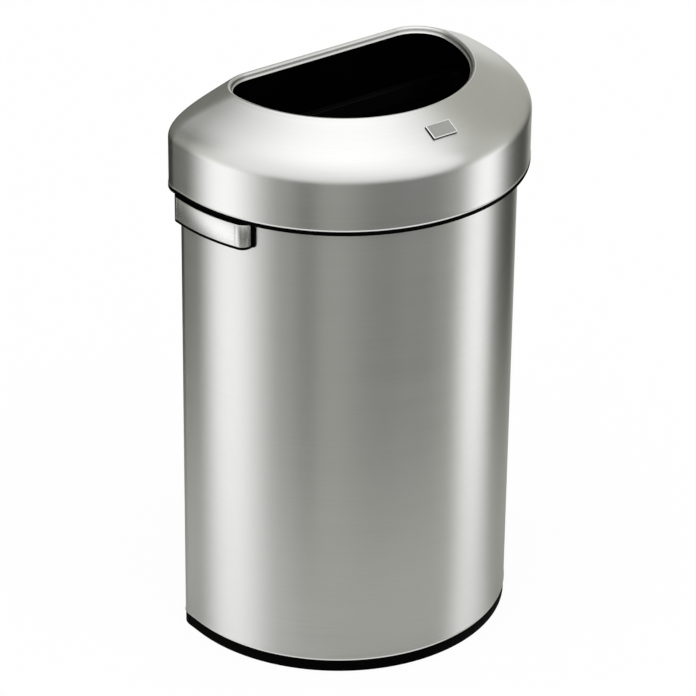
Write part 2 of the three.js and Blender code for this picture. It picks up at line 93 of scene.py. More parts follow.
class BinSizes(bpy.types.PropertyGroup):
    """Sizes of the bin, the same as those of its solids"""

    front_radius: length("Front radius", "Radius of the round front", 0.210)
    side_run: length("Side run", "Straight run behind the round front", 0.0235)
    back_corner: length("Back corner", "Radius of the back corners", 0.021)
    sheet: length("Sheet", "Thickness of the steel sheet", 0.0008)
    seat: length("Seat", "Gap between seated pieces", 0.0003)
    base_height: length("Base height", "Height of the black base ring", 0.0163)
    base_inset: length("Base inset", "How far the base ring stands in", 0.0003)
    floor_gap: length("Floor gap", "Gap under the base ring", 0.0006)
    body_top: length("Body top", "Height of the steel body's upper edge", 0.6332)
    lid_overhang: length("Lid overhang", "How far the lid stands out from the body", 0.0147)
    lid_overlap: length("Lid overlap", "How far the lid hangs over the body", 0.0314)
    hem: length("Hem", "How far the lower edges flare", 0.0006)
    lip_height: length("Lip height", "Height of the black lip under the band", 0.0052)
    band_height: length("Band height", "Height of the lid's upright band", 0.0577)
    dome_rise: length("Dome rise", "Height of the dome above the band", 0.0517)
    dome_reach: length("Dome reach", "How far the dome comes in", 0.0665)
    dome_back_reach: length("Dome back reach", "How far the dome comes in at the back", 0.0152)
    mouth_corner: length("Mouth corner", "Radius of the mouth's back corners", 0.0477)
    shoulder_pull: length("Shoulder pull", "Pull of the dome's curve at the shoulder", 0.0225)
    mouth_pull: length("Mouth pull", "Pull of the dome's curve at the mouth", 0.0316)
    mouth_slope: degrees("Mouth slope", "Slope of the dome at the mouth", 28.07493)
    rim_width: length("Rim width", "Width of the rim round the mouth", 0.0076)
    rim_dip: length("Rim dip", "Depth of the crease before the rim", 0.0003)
    rim_crown: length("Rim crown", "Pull of the rim's curve", 0.0011)
    rim_step: length("Rim step", "Width of the rim to its upright part", 0.0054)
    rim_depth: length("Rim depth", "How far the rim turns down", 0.0063)
    plate_width: length("Plate width", "Width of the plate on the dome", 0.0343)
    plate_height: length("Plate height", "Height of the plate on the dome", 0.020)
    plate_thickness: length("Plate thickness", "Thickness of the plate", 0.0016)
    plate_border: length("Plate border", "Width of the plate's raised border", 0.0013)
    plate_recess: length("Plate recess", "How deep the plate's field lies", 0.0004)
    plate_inset: length("Plate inset", "How far in the plate's middle is", 0.0367)
    grip_rear: length("Grip rear", "A grip's length behind the widest point", 0.027)
    grip_front: length("Grip front", "A grip's length before the widest point", 0.0925)
    grip_projection: length("Grip projection", "How far a grip stands out", 0.0175)
    grip_splay: length("Grip splay", "How far a grip's ends slope", 0.0048)
    grip_round: length("Grip rounding", "Length of the rounding at its ends", 0.0087)
    grip_drop: length("Grip drop", "Gap from the lid's band to a grip", 0.0067)
    grip_height: length("Grip height", "Height of a grip's steel skin", 0.02835)
    grip_lip: length("Grip lip", "Depth of the black lip under a grip", 0.0034)
    grip_cap: length("Grip cap", "Height of the black cap over a grip", 0.0012)
    grip_heel: length("Grip heel", "How far a grip's black ends stand out", 0.007)
    grip_foot: length("Grip foot", "How far a grip's foot stands out", 0.003)


class BinFinishes(bpy.types.PropertyGroup):
    """Colours and finishes of the bin's surfaces"""

    steel: colour("Steel", "Colour of the brushed body", (0.664, 0.666, 0.656))
    lid_steel: colour("Lid steel", "Colour of the brushed lid", (0.715, 0.717, 0.709))
    plate_steel: colour("Plate steel", "Colour of the plate's field", (0.40, 0.402, 0.395))
    # Painted highlight: the plate's raised border is painted near-white to stand in for the
    # highlight along its bevel.
    border: colour("Border", "Colour of the plate's border", (0.90, 0.90, 0.895))
    steel_roughness: number("Steel roughness", "Roughness of the steel", 0.30, min=0, max=1)
    black: colour("Black", "Colour of the black mouldings", (0.0008,) * 3)
    mouth_black: colour("Mouth black", "Colour of the mouth's inside", (0.0004,) * 3)
    inner_black: colour("Inner black", "Colour of the liner, bag ring and collar", (0.0022,) * 3)
    rubber: colour("Rubber", "Colour of the foot pads", (0.018,) * 3)
    zinc: colour("Zinc", "Colour of the screws and backing plates", (0.52, 0.54, 0.56))


class BinStage(bpy.types.PropertyGroup):
    """Studio round the bin"""

    lens: number("Lens", "Focal length in millimetres", 191.76, min=1)
    distance: length("Distance", "Camera's distance from its target", 4.53124)
    azimuth: degrees("Azimuth", "Camera's angle round the bin", -37.43)
    elevation: degrees("Elevation", "Camera's angle above the floor", 28.35)
    roll: degrees("Roll", "Camera's roll", 0.68)
    target: bpy.props.FloatVectorProperty(
        name="Target", description="Point that the camera looks at", size=3, subtype="TRANSLATION",
        default=(0.01646, 0.08589, 0.32551),
    )
    lamp: number("Lamp", "Power of the overhead lamp in watts", 12, min=0)


# Outlines and meshes


def inset(plan, distance):
    """A half-round outline moved inwards, or outwards when the distance is negative."""
    moved = {key: plan[key] - distance for key in ("radius", "back")}
    return {**plan, **moved, "corner": max(plan["corner"] - distance, 0.003)}


def between(a, b, part):
    return {key: a[key] + (b[key] - a[key]) * part for key in a}


def body_plan(sizes):
    """The body's outline. Its centre is the round front's, and its back is measured from there."""
    radius, back = sizes.front_radius, sizes.side_run + sizes.back_corner
    centre = (radius - back) / 2
    return {"radius": radius, "back": back, "corner": sizes.back_corner, "centre": centre}


def lid_plan(sizes):
    return inset(body_plan(sizes), -sizes.lid_overhang)


def mouth_plan(sizes):
    lid = lid_plan(sizes)
    radius, back = lid["radius"] - sizes.dome_reach, lid["back"] - sizes.dome_back_reach
    return {**lid, "radius": radius, "back": back, "corner": sizes.mouth_corner}


def ring(plan, height):
    """The points of a half-round outline at a height, counter-clockwise seen from above."""
    points = []
    shift = plan["centre"]

    def arc(x, y, radius, start, sweep, steps):
        for i in range(steps + 1):
            angle = start + sweep * i / steps
            points.append(
                Vector((x + radius * math.cos(angle), y + radius * math.sin(angle) + shift, height))
            )

    corner_y = plan["back"] - plan["corner"]
    dip = min(corner_y, 0)
    corner_x = math.sqrt((plan["radius"] - plan["corner"]) ** 2 - dip**2)
    turn = math.atan2(dip, corner_x)
    sweep = math.pi / 2 - turn
    trim = 0.004 - turn
    arc(0, 0, plan["radius"], math.pi + trim, math.pi - 2 * trim, FRONT_STEPS)
    arc(corner_x, corner_y, plan["corner"], turn, sweep, CORNER_STEPS)
    arc(-corner_x, corner_y, plan["corner"], math.pi / 2, sweep, CORNER_STEPS)
    return points


def new_piece(name, points, faces):
    """A mesh object with smooth faces that break at its sharp edges."""
    mesh = bpy.data.meshes.new(name)
    mesh.from_pydata([tuple(p) for p in points], [], faces)
    made = bpy.data.objects.new(name, mesh)
    bpy.context.scene.collection.objects.link(made)
    tidy_mesh(mesh)
    return made


def tidy_mesh(mesh):
    """Merges a mesh's double points, turns its faces outwards and marks its sharp edges."""
    work = bmesh.new()
    work.from_mesh(mesh)
    bmesh.ops.remove_doubles(work, verts=work.verts, dist=SAME_POINT)
    bmesh.ops.recalc_face_normals(work, faces=work.faces)
    work.to_mesh(mesh)
    work.free()
    mesh.shade_smooth()
    mesh.set_sharp_from_angle(angle=SHARP)


def loft(name, rings, looped=True):
    """A closed mesh through rings of as many points each. An open stack gets flat ends."""
    count, rows = len(rings[0]), len(rings)
    faces = []
    for i in range(rows if looped else rows - 1):
        low, high = i * count, ((i + 1) % rows) * count
        for j in range(count):
            k = (j + 1) % count
            faces.append((low + j, low + k, high + k, high + j))
    if not looped:
        faces.append(tuple(reversed(range(count))))
        faces.append(tuple(range((rows - 1) * count, rows * count)))
    return new_piece(name, [p for row in rings for p in row], faces)


def bezier(points, t):
    """A point on the Bezier curve through control points."""
    points = [Vector(p) for p in points]
    while len(points) > 1:
        points = [a * (1 - t) + b * t for a, b in zip(points, points[1:])]
    return points[0]


def soften(profile, radius, steps=4):
    """A closed profile with its corners rounded, as far as its sides allow."""
    rounded = []
    for i, here in enumerate(profile):
        here = Vector(here)
        beside = (profile[i - 1], profile[(i + 1) % len(profile)])
        sides = [Vector(there) - here for there in beside]
        reach = min(radius, *(side.length * 0.45 for side in sides))
        start, end = (here + side.normalized() * reach for side in sides)
        rounded += [bezier((start, here, end), step / steps) for step in range(steps + 1)]
    return rounded


def swept(name, plan, profile, radius=0.0004, steps=4):
    """A profile of (inset, height) pairs swept round a half-round outline."""
    smooth = soften(profile, radius, steps)
    return loft(name, [ring(inset(plan, p.x), p.y) for p in smooth])


def combined(target, others, operation):
    """The target joined with, or cut by, other pieces, which are used up."""
    for other in others:
        change = target.modifiers.new("change", "BOOLEAN")
        change.operation = operation
        change.solver = "EXACT"
        change.object = other
    graph = bpy.context.evaluated_depsgraph_get()
    mesh = bpy.data.meshes.new_from_object(target.evaluated_get(graph))
    target.modifiers.clear()
    target.data = mesh
    tidy_mesh(mesh)
    for other in others:
        bpy.data.objects.remove(other)
    return target


def block(name, low, high, turn=0, shift=0):
    """A box between two corners, turned round the vertical axis and then moved back."""
    spin = Matrix.Translation((0, shift, 0)) @ Matrix.Rotation(turn, 4, "Z")
    spans = list(zip(low, high))
    corners = [spin @ Vector((x, y, z)) for z in spans[2] for y in spans[1] for x in spans[0]]
    faces = [(0, 2, 3, 1), (4, 5, 7, 6), (0, 1, 5, 4), (1, 3, 7, 5), (3, 2, 6, 7), (2, 0, 4, 6)]
    return new_piece(name, corners, faces)


def turned_disc(name, profile, x, y):
    """A round piece with flat ends from (radius, height) pairs."""
    turns = [math.tau * i / ROUND_STEPS for i in range(ROUND_STEPS)]
    return loft(name, [
        [Vector((x + radius * math.cos(a), y + radius * math.sin(a), height)) for a in turns]
        for radius, height in profile
    ], looped=False)


# Finishes


class Tree:
    """Short calls for building a material's or the world's nodes."""

    def __init__(self, tree):
        tree.nodes.clear()
        self.tree = tree

    def node(self, kind, **settings):
        made = self.tree.nodes.new(kind)
        for key, value in settings.items():
            setattr(made, key, value)
        return made

    def link(self, source, target):
        self.tree.links.new(source, target)

    def feed(self, socket, value):
        if isinstance(value, bpy.types.NodeSocket):
            self.link(value, socket)
        else:
            socket.default_value = value

    def fill(self, made, *values):
        """Feeds a node's inputs in their order, and gives its first output."""
        for socket, value in zip(made.inputs, values):
            self.feed(socket, value)
        return made.outputs[0]

    def math(self, operation, *values):
        return self.fill(self.node("ShaderNodeMath", operation=operation), *values)

    def ease(self, value, low, high, start=0, end=1):
        """A soft step of a value between two of its levels."""
        made = self.node("ShaderNodeMapRange", interpolation_type="SMOOTHSTEP")
        return self.fill(made, value, low, high, start, end)

    def mix(self, factor, a, b):
        made = self.node("ShaderNodeMix", data_type="RGBA")
        self.feed(made.inputs[0], factor)
        for socket, value in ((made.inputs[6], a), (made.inputs[7], b)):
            if isinstance(value, tuple):
                value = (*value, 1)
            self.feed(socket, value)
        return made.outputs[2]

    def noise(self, vector, scale, detail=2, roughness=0.5):
        return self.fill(self.node("ShaderNodeTexNoise"), vector, 0, scale, detail, roughness)

    def scaled(self, vector, scale):
        return self.fill(self.node("ShaderNodeVectorMath", operation="MULTIPLY"), vector, scale)

    def place(self):
        """A point's place on its piece, which is its place in the frame at rest."""
        return self.node("ShaderNodeTexCoord").outputs["Object"]

    def split(self, vector):
        made = self.node("ShaderNodeSeparateXYZ")
        self.link(vector, made.inputs[0])
        return made.outputs

    def length(self, x, y):
        return self.math("SQRT", self.math("MULTIPLY_ADD", y, y, self.math("POWER", x, 2)))

    def bump(self, shader, height, strength, distance):
        """Gives a shader a fine relief, with a strength and a depth in metres."""
        made = self.node("ShaderNodeBump")
        made.inputs["Strength"].default_value = strength
        made.inputs["Distance"].default_value = distance
        self.link(height, made.inputs["Height"])
        self.link(made.outputs[0], shader.inputs["Normal"])

    def blend(self, factor, first, second):
        """Two shaders mixed by a factor."""
        return self.fill(self.node("ShaderNodeMixShader"), factor, first, second)

    def show(self, source, kind="Material"):
        """Joins a shader to the output."""
        self.link(source, self.node(f"ShaderNodeOutput{kind}").inputs["Surface"])


def new_material(name):
    material = bpy.data.materials.new(f"bin_{name}")
    material.use_nodes = True
    return material, Tree(material.node_tree)


def surface(tree, settings):
    """The main shader with its plain settings, joined to the output."""
    shader = tree.node("ShaderNodeBsdfPrincipled")
    for key, value in settings.items():
        shader.inputs[key].default_value = value
    tree.show(shader.outputs[0])
    return shader


def grain_line(tree, place, sizes):
    """A value that grows across the grain: up the walls, and inwards over the dome."""
    x, y, z = tree.split(place)
    lid = lid_plan(sizes)
    y = tree.math("SUBTRACT", y, lid["centre"])
    across = tree.length(x, tree.math("MINIMUM", y, 0))
    beyond = tree.math("SUBTRACT", across, lid["radius"])
    outside = tree.math("MAXIMUM", beyond, tree.math("SUBTRACT", y, lid["back"]))
    return tree.math("SUBTRACT", z, tree.math("MINIMUM", outside, 0))


def toned(tone, factor, lift=0):
    return tuple(min(c * factor + lift, 1) for c in tone)


def brushed_steel(tree, tone, roughness, fine=1, stretch=0.77, border=None):
    """Satin stainless steel with a fine grain that runs round the bin.

    With a border colour, the mesh's zones are its edge (0), painted near-black as painted shade of
    the gap under it, its border (0.5), painted near-white as a painted highlight along its bevel,
    and its field (1).
    """
    shader = surface(tree, {"Metallic": 1, "Anisotropic": stretch, "Anisotropic Rotation": 0.25})
    place = tree.place()
    x, y, _ = tree.split(place)
    line = grain_line(tree, place, bpy.context.scene.bin_sizes)
    grain = tree.fill(tree.node("ShaderNodeCombineXYZ"), x, y, line)
    grain = tree.scaled(grain, (GRAIN_ALONG, GRAIN_ALONG, GRAIN_ACROSS * fine))
    hair = tree.noise(grain, 1, 3, 0.65)
    broad = tree.noise(tree.scaled(grain, (0.6, 0.6, 0.11)), 1)
    cloud = tree.noise(place, 7)
    tinted = tree.mix(tree.ease(hair, 0.3, 0.7), toned(tone, 0.975), toned(tone, 1.022))
    wear_and_painted_plate_edges = tree.mix(tree.ease(cloud, 0.35, 0.65, 0, 0.35), tinted, tone)
    if border:
        # Painted shade and highlight: the plate's edge is painted near-black for the shade of the
        # gap under it, and its border near-white for the highlight on its bevel.
        zone = tree.node("ShaderNodeAttribute", attribute_name="zone").outputs["Fac"]
        raised = tree.mix(tree.ease(zone, 0.1, 0.4), (0.02, 0.02, 0.02), border)
        wear_and_painted_plate_edges = tree.mix(tree.ease(zone, 0.6, 0.9), raised, wear_and_painted_plate_edges)
    tree.link(wear_and_painted_plate_edges, shader.inputs["Base Color"])
    rough = tree.math(
        "ADD", tree.ease(hair, 0.25, 0.75, roughness - 0.011, roughness + 0.011),
        tree.ease(broad, 0.3, 0.7, -0.003, 0.003),
    )
    tree.link(rough, shader.inputs["Roughness"])
    tree.bump(shader, hair, 0.03, 0.0001)
    around = tree.node("ShaderNodeTangent", direction_type="RADIAL", axis="Z")
    tree.link(around.outputs[0], shader.inputs["Tangent"])


def moulded_plastic(tree, tone, roughness, grain, level):
    """Moulded plastic with a fine leather-like grain and faint flow marks."""
    shader = surface(tree, {"Specular IOR Level": level})
    place = tree.place()
    fine = tree.noise(place, grain, 3, 0.6)
    flow = tree.noise(tree.scaled(place, (1, 1, 3)), 9, 3)
    marked = tree.mix(tree.ease(flow, 0.3, 0.75), tone, toned(tone, 1.7, 0.0002))
    tree.link(marked, shader.inputs["Base Color"])
    rough = tree.math(
        "ADD", tree.ease(fine, 0.3, 0.7, roughness - 0.06, roughness + 0.06),
        tree.ease(flow, 0.3, 0.7, -0.04, 0.04),
    )
    tree.link(rough, shader.inputs["Roughness"])
    tree.bump(shader, fine, 0.25, 0.0002)


def zinc_plate(tree, tone):
    """Zinc-plated steel with faint crystals."""
    shader = surface(tree, {"Metallic": 1})
    place = tree.place()
    crystals = tree.node("ShaderNodeTexVoronoi")
    crystals.inputs["Scale"].default_value = 260
    tree.link(place, crystals.inputs["Vector"])
    clouds = tree.math("MULTIPLY", tree.noise(place, 90, 3), 0.6)
    patch = tree.math("MULTIPLY_ADD", crystals.outputs["Distance"], 0.5, clouds)
    mottled = tree.mix(tree.ease(patch, 0.2, 0.7), toned(tone, 0.82), tone)
    tree.link(mottled, shader.inputs["Base Color"])
    tree.link(tree.ease(patch, 0.2, 0.7, 0.30, 0.46), shader.inputs["Roughness"])


def finish_of(kind):
    """The material of a finish, made when the first piece asks for it."""
    made = bpy.data.materials.get(f"bin_{kind}")
    if made:
        return made
    made, tree = new_material(kind)
    looks = bpy.context.scene.bin_finishes
    satin = looks.steel_roughness
    maker, colour_name, *settings = {
        "body_steel": (brushed_steel, "steel", satin),
        "lid_steel": (brushed_steel, "lid_steel", satin),
        "grip_steel": (brushed_steel, "lid_steel", satin * 0.9, 1.3),
        "plate_steel": (brushed_steel, "plate_steel", satin, 1.6, 0.3, tuple(looks.border)),
        "black_moulding": (moulded_plastic, "black", 0.5, 1400, 0.012),
        "mouth_plastic": (moulded_plastic, "mouth_black", 0.7, 900, 0.012),
        "liner_plastic": (moulded_plastic, "inner_black", 0.42, 900, 0.12),
        "pad_rubber": (moulded_plastic, "rubber", 0.8, 700, 0.3),
        "zinc_steel": (zinc_plate, "zinc"),
    }[kind]
    maker(tree, tuple(getattr(looks, colour_name)), *settings)
    return made


def dress(piece, finish):
    """Gives a piece, or a solid that stays as it is, its finish."""
    piece.data.materials.clear()
    piece.data.materials.append(finish_of(finish))


def placed(piece, body, slot, replaced, finish=None):
    """Gives a piece its finish and its body, and hides the solids that it stands for."""
    dress(piece, finish or slot)
    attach(piece, body)
    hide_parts(*replaced)


# Body


class BIN_OT_body_shell(bpy.types.Operator):
    """Builds the steel body: a half-round tube with a lapped seam down its back"""

    bl_idname = "bin.body_shell"
    bl_label = "Steel body"

    def execute(self, context):
        sizes = context.scene.bin_sizes
        plan = body_plan(sizes)
        low, high, sheet, hem = sizes.base_height, sizes.body_top, sizes.sheet, sizes.hem
        shell = swept("steel_body", plan, [
            (-hem, low), (-hem, low + 0.0005), (0, low + 0.0013), (0, low + 0.004),
            (0, high), (sheet, high), (sheet, low),
        ], 0.00025)
        seam, back = 0.012, plan["back"] + plan["centre"]
        seam_top = high - sizes.lid_overlap - seam
        strip = block(
            "seam", (-seam / 2, back - sheet, low + seam), (seam / 2, back + sheet, seam_top)
        )
        placed(combined(shell, [strip], "UNION"), "bin_body", "body_steel", ["body_shell"])
        return {"FINISHED"}


class BIN_OT_base(bpy.types.Operator):
    """Builds the black base ring with its ribbed floor, and the four rubber pads"""

    bl_idname = "bin.base"
    bl_label = "Base and pads"

    def execute(self, context):
        sizes = context.scene.bin_sizes
        plan = body_plan(sizes)
        shift = plan["centre"]
        spigot, top = sizes.sheet + sizes.seat, sizes.base_height - sizes.seat
        out, wall, foot = sizes.base_inset, sizes.base_height + 0.025, sizes.floor_gap
        inner, floor_low, floor_top = spigot + 0.003, 0.014, 0.017
        profile = [
            (inner, floor_low), (inner, foot + 0.0012), (inner - 0.0004, foot + 0.0004),
            (inner - 0.0012, foot), (out + 0.0005, foot), (out + 0.00015, foot + 0.0001),
            (out, foot + 0.0004), (out, top - 0.0005), (out + 0.0002, top), (spigot, top),
            (spigot, wall - 0.0008), (spigot + 0.0008, wall), (inner, wall), (inner, floor_top),
        ]
        rings = [ring(inset(plan, distance), z) for distance, z in profile]
        base = loft("base_ring", rings, looped=False)
        edge = inset(plan, inner - sizes.seat)
        half, rib_low, rib_top = 0.0015, 0.004, 0.0155
        added = []

        def rib(x, y, far_x, far_y):
            added.append(block("rib", (x, y + shift, rib_low), (far_x, far_y + shift, rib_top)))

        for x in (-0.18, -0.09, 0, 0.09, 0.18):
            front = -math.sqrt(edge["radius"] ** 2 - (abs(x) + half) ** 2)
            in_corner = abs(x) > edge["radius"] - edge["corner"]
            rib(x - half, front, x + half, edge["back"] - (edge["corner"] / 2 if in_corner else 0))
        for y in (0, -0.075, -0.15):
            reach = math.sqrt(edge["radius"] ** 2 - (abs(y) + half) ** 2)
            rib(-reach, y - half, reach, y + half)
        for i in range(1, 5):
            low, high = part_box(f"foot_pad_{i}")
            x, y = (low.x + high.x) / 2, (low.y + high.y) / 2
            radius, pad_top = (high.x - low.x) / 2, high.z
            boss = [(radius + 0.002, pad_top + sizes.seat), (radius + 0.002, floor_low + 0.0005)]
            added.append(turned_disc("boss", boss, x, y))
            pad = turned_disc(f"rubber_pad_{i}", [
                (radius * 0.55, 0.0006), (radius * 0.62, 0), (radius - 0.0008, 0),
                (radius - 0.0002, 0.0003), (radius, 0.0009), (radius, pad_top - 0.0004),
                (radius - 0.0004, pad_top),
            ], x, y)
            placed(pad, "bin_body", "pad_rubber", [f"foot_pad_{i}"])
        placed(combined(base, added, "UNION"), "bin_body", "black_moulding", ["base_moulding"])
        return {"FINISHED"}


class BIN_OT_collar(bpy.types.Operator):
    """Builds the black collar on the body's upper edge"""

    bl_idname = "bin.collar"
    bl_label = "Collar"

    def execute(self, context):
        sizes = context.scene.bin_sizes
        seat = sizes.seat
        slot_top, inside = sizes.body_top + seat, sizes.sheet + seat
        top, low = slot_top + COLLAR_RISE, slot_top - 0.010
        shelf, step = top - SHELF_DROP, 0.0035
        under, edge, skirt = shelf - 0.003, 0.009, shelf - 0.022
        profile = [
            (-seat - COLLAR_SIDE, low), (-seat - COLLAR_SIDE, top), (step, top), (step, shelf),
            (edge, shelf), (edge, skirt), (edge - 0.002, skirt), (edge - 0.002, under),
            (inside, under), (inside, slot_top), (-seat, slot_top), (-seat, low),
        ]
        collar = swept("collar", body_plan(sizes), profile, 0.0006, 3)
        placed(collar, "bin_body", "black_moulding", ["top_collar"], "liner_plastic")
        return {"FINISHED"}


# Grips


def wall_point(sizes, side, along, out, height):
    """A place by the wall, at a length along it from the widest point, and out from it."""
    radius, shift = sizes.front_radius + out, body_plan(sizes)["centre"]
    if along <= 0:
        return Vector((side * radius, shift - along, height))
    angle = along / sizes.front_radius
    return Vector((side * radius * math.cos(angle), -radius * math.sin(angle) + shift, height))


def grip_path(sizes, setback, foot, steps=14):
    """A grip's outline from its rear foot round to its front foot, with a crease by each bend."""
    rear, front = setback - sizes.grip_rear, sizes.grip_front - setback
    face = sizes.grip_projection - setback
    slope = sizes.grip_splay / sizes.grip_projection
    reach = sizes.grip_round - setback
    corner = face * slope
    near, far = rear + corner + reach, front - corner - reach
    bends = (
        ((rear + corner - reach * slope, face - reach), (rear + corner, face), (near, face)),
        ((far, face), (front - corner, face), (front - corner + reach * slope, face - reach)),
    )
    first, last = ([bezier(bend, i / steps) for i in range(steps + 1)] for bend in bends)
    return [
        Vector((rear + foot * slope, foot)), *first,
        *(Vector((near + run, face - depth)) for run, depth in CREASE),
        *(Vector((far - run, face - depth)) for run, depth in reversed(CREASE)),
        *last, Vector((front - foot * slope, foot)),
    ]


def core_path(sizes, setback, edge=0):
    """A grip's black outline, which steps back by a setback beyond its two bare heels."""
    slope = sizes.grip_splay / sizes.grip_projection
    rear, front = edge - sizes.grip_rear, sizes.grip_front - edge
    near, heel = sizes.seat, sizes.grip_heel
    return [
        Vector((rear + near * slope, near)), Vector((rear + heel * slope, heel)),
        *grip_path(sizes, max(setback, edge), heel),
        Vector((front - heel * slope, heel)), Vector((front - near * slope, near)),
    ]


def bent(sizes, side, flat, height, steps):
    """An outline drawn flat as (along, out) points, bent round the wall at a height."""
    points = []
    for i, here in enumerate(flat):
        there = flat[(i + 1) % len(flat)]
        for step in range(steps[i]):
            t = step / steps[i]
            along = here[0] + (there[0] - here[0]) * t
            out = here[1] + (there[1] - here[1]) * t
            points.append(wall_point(sizes, side, along, out, height))
    return points


def upright(name, sizes, side, levels):
    """A solid through bent outlines, given as (outline, height) pairs with as many points each."""
    first = levels[0][0]
    steps = [
        max(1, math.ceil(abs(first[(i + 1) % len(first)][0] - here[0]) / BEND_STEP))
        for i, here in enumerate(first)
    ]
    rings = [bent(sizes, side, flat, height, steps) for flat, height in levels]
    return loft(name, rings, looped=False)


class BIN_OT_grips(bpy.types.Operator):
    """Builds the two side grips: black cores that are open below, with steel skins"""

    bl_idname = "bin.grips"
    bl_label = "Side grips"

    def execute(self, context):
        sizes = context.scene.bin_sizes
        top = sizes.body_top - sizes.lid_overlap - sizes.grip_drop
        low, seat, skin = top - sizes.grip_height, sizes.seat, sizes.sheet
        lip, cap, edge = low - sizes.grip_lip, top + sizes.grip_cap, 0.0004
        setback, wall, end, nudge = skin + seat, 0.0024, 0.014, 0.005
        rear, front = -sizes.grip_rear, sizes.grip_front
        face = sizes.grip_projection - setback - wall
        for side, label in ((-1, "left"), (1, "right")):
            core = upright(f"grip_core_piece_{label}", sizes, side, [
                (core_path(sizes, back, rounding), height) for back, rounding, height in (
                    (0, edge, lip), (0, edge * 0.3, lip + edge * 0.3), (0, 0, lip + edge),
                    (0, 0, low - seat), (setback, 0, low - seat), (setback, 0, top + seat),
                    (0, 0, top + seat), (0, 0, cap - edge),
                    (0, edge * 0.3, cap - edge * 0.3), (0, edge, cap),
                )
            ])

            def bar(name, near, far, inner, outer, low_z, top_z):
                flat = [(near, inner), (near, outer), (far, outer), (far, inner)]
                return upright(name, sizes, side, [(flat, low_z), (flat, top_z)])

            foot = bar("foot", rear - edge, front + edge, seat, sizes.grip_foot, lip, cap)
            hollow = bar("hollow", rear + end, front - end, -nudge, face, lip - nudge, top - wall)
            core = combined(combined(core, [foot], "UNION"), [hollow], "DIFFERENCE")
            placed(core, "bin_body", "black_moulding", [f"grip_core_{label}"])
            heel = sizes.grip_heel + seat
            inside = grip_path(sizes, skin, heel)[::-1]
            band = upright(f"grip_skin_piece_{label}", sizes, side, [
                (grip_path(sizes, margin, heel) + inside, height) for margin, height in (
                    (0.00045, low), (0.00015, low + 0.0001), (0, low + 0.0004), (0, top - 0.0009),
                    (0.00012, top - 0.0006), (0.0003, top - 0.0003), (0.0006, top),
                )
            ])
            placed(band, "bin_body", "grip_steel", [f"grip_skin_{label}"])
            for part in (f"backing_{label}", f"screw_{label}_1", f"screw_{label}_2"):
                dress(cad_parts[f"grip_{part}"], "zinc_steel")
        return {"FINISHED"}


# Liner


def liner_plan(sizes, distance):
    """The body's outline moved inwards for the liner, with rounder back corners."""
    plan = inset(body_plan(sizes), distance)
    plan["corner"] = max(0.014 + LINER_SIDE - distance, 0.010)
    return plan


class BIN_OT_liner(bpy.types.Operator):
    """Builds the liner bucket and the ring that holds the bag"""

    bl_idname = "bin.liner"
    bl_label = "Liner and bag ring"

    def execute(self, context):
        sizes = context.scene.bin_sizes
        seat = sizes.seat
        shelf = sizes.body_top + seat + COLLAR_RISE - SHELF_DROP
        side, rim, wall, thick, edge = LINER_SIDE, 0.0048, 0.0025, 0.0025, 0.0008
        low, top = shelf + seat, shelf + seat + thick
        bottom, foot, rounding = 0.0225, side + 0.0135, 0.006
        turns = [math.pi / 2 * i / 6 for i in range(7)]
        bend = [(rounding * (1 - math.sin(a)), rounding * (1 - math.cos(a))) for a in turns]
        section = [
            *((foot + x, bottom + z) for x, z in bend),
            (side, low), (rim, low), (rim, top - 0.0005), (rim + 0.0005, top),
            (side + wall - edge, top), (side + wall, top - edge),
            *((foot + wall + z, bottom + wall + x) for x, z in bend),
        ]
        rings = [ring(liner_plan(sizes, distance), z) for distance, z in section]
        bucket = loft("liner_bucket_piece", rings, looped=False)
        placed(bucket, "liner", "liner_plastic", ["liner_bucket"])
        low, high, skirt_low = top + seat, top + seat + 0.002, top + seat - 0.020
        skirt = side + wall + 0.0006
        profile = [
            (rim, low), (rim, high), (skirt + 0.002, high), (skirt + 0.0027, skirt_low),
            (skirt + 0.0007, skirt_low), (skirt, low),
        ]
        rings = [ring(liner_plan(sizes, p.x), p.y) for p in soften(profile, 0.0006)]
        holder = loft("bag_ring_piece", rings)
        placed(holder, "bag_holder", "black_moulding", ["bag_ring"], "liner_plastic")
        return {"FINISHED"}


# Lid


def lid_heights(sizes):
    """The heights of the lid's lower edge, of its shoulder and of its mouth."""
    low = sizes.body_top - sizes.lid_overlap
    shoulder = low + sizes.band_height
    return low, shoulder, shoulder + sizes.dome_rise


def dome_point(sizes, t):
    """A point of the dome's profile: how far in from the band, and its height."""
    _, shoulder, mouth = lid_heights(sizes)
    reach, pull, slope = sizes.dome_reach, sizes.mouth_pull, sizes.mouth_slope
    return bezier([
        (0, shoulder), (0, shoulder + sizes.shoulder_pull),
        (reach - pull * math.cos(slope), mouth - pull * math.sin(slope)), (reach, mouth),
    ], t)


